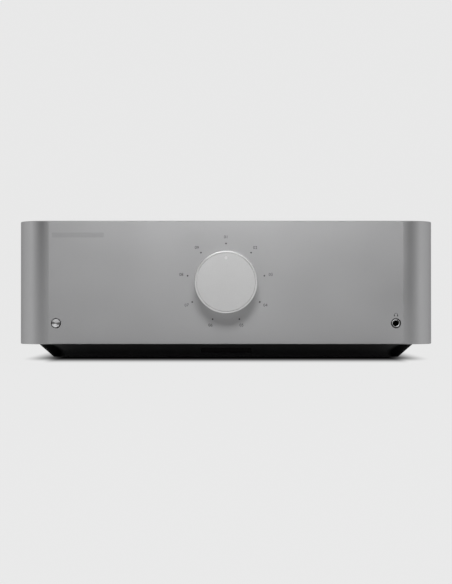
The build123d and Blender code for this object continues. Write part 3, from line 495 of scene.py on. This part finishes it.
def dial_marks():
    """A dot at each of the selector's positions, and its number outside it."""
    dots, numbers = bmesh.new(), bmesh.new()
    for index in range(POSITIONS):
        angle = 2 * math.pi * index / POSITIONS
        across, up = math.sin(angle), math.cos(angle)
        place = to_front(DIAL.x + DOT_RING * across, DIAL.z + DOT_RING * up, FRONT_Y)
        prism(dots, disc(0.9 * MM), place)
        place = to_front(DIAL.x + NUMBER_RING * across, DIAL.z + NUMBER_RING * up, FRONT_Y)
        add_numeral(numbers, f"{index + 1:02d}", 3.3 * MM, place)
    piece("dial_dots", dots, "print")
    piece("dial_numbers", numbers, "print")


def headphone_mark():
    """A headband with two ear cups, above the socket."""
    bm = bmesh.new()
    place = to_front(HEADPHONE.x, HEADPHONE.z + 9.2 * MM, FRONT_Y)
    prism(bm, ring_band(1.85 * MM, 0.4 * MM, 0, math.pi), place)
    for side in (-1, 1):
        prism(bm, bar(side * 1.2 * MM, -1.7 * MM, side * 2.3 * MM, 0.1 * MM), place)
    piece("headphone_mark", bm, "print")


def rear_marks():
    """Numbers beside the sockets, polarity signs at the terminals and thin frames round each group.

    Places are in mm across and up the rear panel.
    """
    bm = bmesh.new()

    def at(x, z):
        return to_rear(x * MM, z * MM, REAR_Y)

    for number, x in enumerate((16, -6, -28, 44), start=1):
        add_numeral(bm, str(number), 2.8 * MM, at(x, 112))
    for number, x in enumerate((-92, -62), start=5):
        add_numeral(bm, str(number), 2.8 * MM, at(x, 90.5))
    for number, x in enumerate((-92, -66, -46, -18, 10), start=1):
        add_numeral(bm, str(number), 2.4 * MM, at(x, 51.5))
    for side in (-1, 1):
        prism(bm, plus(1.6 * MM, 0.3 * MM), at(side * 136, 91))
        prism(bm, bar(-1.6 * MM, -0.3 * MM, 1.6 * MM, 0.3 * MM), at(side * 164, 91))
    line_sockets, pre_out, digital = (-38, 30, 90, 134), (34, 54, 90, 134), (-102, 20, 47, 72.5)
    speakers_left, speakers_right = (-176, -124, 87, 122), (124, 176, 87, 122)
    for x0, x1, z0, z1 in (line_sockets, pre_out, digital, speakers_left, speakers_right):
        outlines = []
        for inset in (0, 0.3):
            half_x, half_z = ((x1 - x0) / 2 - inset) * MM, ((z1 - z0) / 2 - inset) * MM
            outlines.append(bar(-half_x, -half_z, half_x, half_z))
        hollow_prism(bm, *outlines, at((x0 + x1) / 2, (z0 + z1) / 2))
    piece("rear_marks", bm, "pale_print")


def rocker_marks():
    """A bar on the rocker's upper half and a ring on its lower half; they turn with it."""
    pivot = (centre("mains_rocker").x, MAINS_FACE_Y - ROCKER_DEPTH, centre("mains_inlet").z)
    rest = Matrix.Translation(pivot) @ Matrix.Rotation(math.radians(ROCKER_REST), 4, "X")
    bm = bmesh.new()
    for side in (-1, 1):
        facet = Matrix.Translation((0, FACET_OUT, side * FACET_UP))
        tilt = Matrix.Rotation(math.radians(-FACET_TILT * side), 4, "X")
        place = rest @ facet @ tilt @ FACING_REAR
        if side == 1:
            prism(bm, bar(-0.35 * MM, -1.8 * MM, 0.35 * MM, 1.8 * MM), place)
        else:
            hollow_prism(bm, disc(1.9 * MM), disc(1.3 * MM), place)
    piece("rocker_marks", bm, "pale_print", body="mains_switch")


dial_marks()
headphone_mark()
rear_marks()
rocker_marks()


# ---- Studio, in metres ----
FLOOR_RADIUS = 5.0
CURVE_RADIUS = 2.0          # of the curve from the floor up to the wall
CURVE_STEPS = 12
WALL_TOP = 9.0
WALL_SIDES = 72
PALE_GLOW = 0.805           # of the floor and wall, in linear light
FRONT_WALL = 0.04           # light from the room behind the camera, as a share of the rest
FRONT_WALL_START = 1.2      # how far in front of the object it begins to fade to that share
FRONT_WALL_FULL = 3.2       # and where it gets there
# Each soft shadow painted into the floor's glow: half-size of its core, how far it fades out, and how
# deep it is.
# The core's second figure is how far it stays inside the case's half depth.
WRAP_PAINTED_SHADOW = ((0.188, 0.041), (0.040, 0.127), 0.95)
PLINTH_PAINTED_SHADOW = ((0.182, 0.034), (0.016, 0.165), 1.0)
FLOOR_SKIN = 1 * MM         # keeps a painted shadow on the floor, and off the wall above it


def area_light(name, location, target, size, watts):
    """A soft rectangular light aimed at a point, hidden from the camera."""
    data = bpy.data.lights.new(name, "AREA")
    data.shape = "RECTANGLE"
    data.size, data.size_y = size
    data.energy = watts
    lamp = bpy.data.objects.new(name, data)
    lamp.location = location
    lamp.rotation_mode = "QUATERNION"
    lamp.rotation_quaternion = (Vector(target) - Vector(location)).to_track_quat("-Z", "Y")
    lamp.visible_camera = False
    scene.collection.objects.link(lamp)


def backdrop():
    """A round room with a pale floor that curves up into its wall."""
    profile = [(2.0, 0.0), (FLOOR_RADIUS, 0.0)]
    for step in range(1, CURVE_STEPS + 1):
        a = math.pi / 2 * step / CURVE_STEPS
        out, up = CURVE_RADIUS * math.sin(a), CURVE_RADIUS * (1 - math.cos(a))
        profile.append((FLOOR_RADIUS + out, up))
    profile.append((FLOOR_RADIUS + CURVE_RADIUS, WALL_TOP))
    bm = bmesh.new()
    rings = []
    for radius, z in profile:
        ring = []
        for i in range(WALL_SIDES):
            a = 2 * math.pi * i / WALL_SIDES
            ring.append(bm.verts.new((radius * math.cos(a), radius * math.sin(a), z)))
        rings.append(ring)
    middle = bm.verts.new((0, 0, 0))
    for i in range(WALL_SIDES):
        j = (i + 1) % WALL_SIDES
        bm.faces.new((middle, rings[0][i], rings[0][j]))
        for inner, outer in zip(rings, rings[1:]):
            bm.faces.new((inner[i], outer[i], outer[j], inner[j]))
    mesh = bpy.data.meshes.new("backdrop")
    bm.to_mesh(mesh)
    bm.free()
    for face in mesh.polygons:
        face.use_smooth = True
    made = bpy.data.objects.new("backdrop", mesh)
    scene.collection.objects.link(made)
    return made


def soft_edge(look, value, ends, results):
    """Smooth change from one result to the other while a value goes from end to end."""
    ramp = look.node("ShaderNodeMapRange", interpolation_type="SMOOTHSTEP", clamp=True)
    for socket, number in zip(RANGE_SOCKETS, (*ends, *results)):
        ramp.inputs[socket].default_value = number
    look.join(value, ramp.inputs["Value"])
    return ramp.outputs["Result"]


def lit_share(look, size, half_depth, shadow):
    """Share of the floor's glow that one painted soft shadow leaves: it is deepest over its core and
    fades out.
    """
    (half_width, inset), spread, depth = shadow
    core = (half_width, half_depth - inset, FLOOR_SKIN)
    fade = (*spread, FLOOR_SKIN)
    beyond = look.node("ShaderNodeVectorMath", operation="SUBTRACT")
    look.join(size, beyond.inputs[0])
    beyond.inputs[1].default_value = core
    outside = look.node("ShaderNodeVectorMath", operation="MAXIMUM")
    look.join(beyond.outputs[0], outside.inputs[0])
    scaled = look.node("ShaderNodeVectorMath", operation="DIVIDE")
    look.join(outside.outputs[0], scaled.inputs[0])
    scaled.inputs[1].default_value = fade
    distance = look.node("ShaderNodeVectorMath", operation="LENGTH")
    look.join(scaled.outputs[0], distance.inputs[0])
    return soft_edge(look, distance.outputs["Value"], (0, 1), (1 - depth, 1))


def backdrop_look():
    """Even pale glowing floor and wall, with a painted soft shadow under the wrap and a deeper painted
    one round the plinth.

    The wall in front of the object looks pale too, but lights it and shows in it only a little.
    """
    look = Look("backdrop", (0.012, 0.012, 0.012), roughness=1.0, Specular_IOR_Level=0.0)
    low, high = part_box("side_panel_left")[0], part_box("side_panel_right")[1]
    half_depth = (high.y - FRONT_Y) / 2
    moved = look.node("ShaderNodeVectorMath", operation="SUBTRACT")
    moved.inputs[1].default_value = ((low.x + high.x) / 2, (FRONT_Y + high.y) / 2, 0)
    look.join(look.place, moved.inputs[0])
    size = look.node("ShaderNodeVectorMath", operation="ABSOLUTE")
    look.join(moved.outputs[0], size.inputs[0])
    size = size.outputs[0]
    painted_shadow_under_wrap = lit_share(look, size, half_depth, WRAP_PAINTED_SHADOW)
    painted_shadow_round_plinth = lit_share(look, size, half_depth, PLINTH_PAINTED_SHADOW)
    parts = look.node("ShaderNodeSeparateXYZ")
    look.join(look.place, parts.inputs[0])
    ends = (FRONT_Y - FRONT_WALL_FULL, FRONT_Y - FRONT_WALL_START)
    front_share = soft_edge(look, parts.outputs["Y"], ends, (FRONT_WALL, 1))
    seen_share = look.node("ShaderNodeMath", operation="MAXIMUM")
    look.join(front_share, seen_share.inputs[0])
    look.join(look.node("ShaderNodeLightPath").outputs["Is Camera Ray"], seen_share.inputs[1])
    glow = look.node("ShaderNodeEmission")
    glow.inputs["Color"].default_value = (PALE_GLOW, PALE_GLOW, PALE_GLOW, 1)
    # painted shadows: the floor's glow is dimmed round the case by both shadow shares
    look.join(product(look, painted_shadow_under_wrap, painted_shadow_round_plinth, seen_share.outputs[0]), glow.inputs["Strength"])
    added = look.node("ShaderNodeAddShader")
    look.join(look.shader.outputs["BSDF"], added.inputs[0])
    look.join(glow.outputs["Emission"], added.inputs[1])
    look.join(added.outputs["Shader"], look.tree.nodes["Material Output"].inputs["Surface"])
    return look.mat


floor = backdrop()
floor.data.materials.append(backdrop_look())

world = bpy.data.worlds.new("studio")
world.use_nodes = True
world.node_tree.nodes["Background"].inputs["Color"].default_value = (0.8, 0.8, 0.8, 1)
world.node_tree.nodes["Background"].inputs["Strength"].default_value = 0.12
scene.world = world

target = (0, FRONT_Y, DIAL.z)
area_light("overhead", (0, FRONT_Y - 0.10, 1.1), target, (1.6, 0.9), 4)
area_light("key", (0, FRONT_Y - 1.6, 0.78), target, (0.50, 0.42), 9)
for side in (-1, 1):
    area_light(f"side_{side + 1}", (side * 1.5, FRONT_Y - 0.65, 0.30), target, (0.9, 0.9), 1)


# ---- Camera ----
CAMERA_DISTANCE = 1.700     # in front of the front panel
CAMERA_HEIGHT = 0.0614      # above the floor
CAMERA_TILT = math.radians(0.41)
CAMERA_LENS = 95.26         # mm, on a 36 mm sensor
lens = bpy.data.cameras.new("camera")
lens.lens = CAMERA_LENS
lens.clip_start, lens.clip_end = 0.05, 40
camera = bpy.data.objects.new("camera", lens)
camera.location = (0, FRONT_Y - CAMERA_DISTANCE, CAMERA_HEIGHT)
camera.rotation_euler = (math.pi / 2 + CAMERA_TILT, 0, 0)
scene.collection.objects.link(camera)
scene.camera = camera
scene.view_settings.view_transform = "Standard"
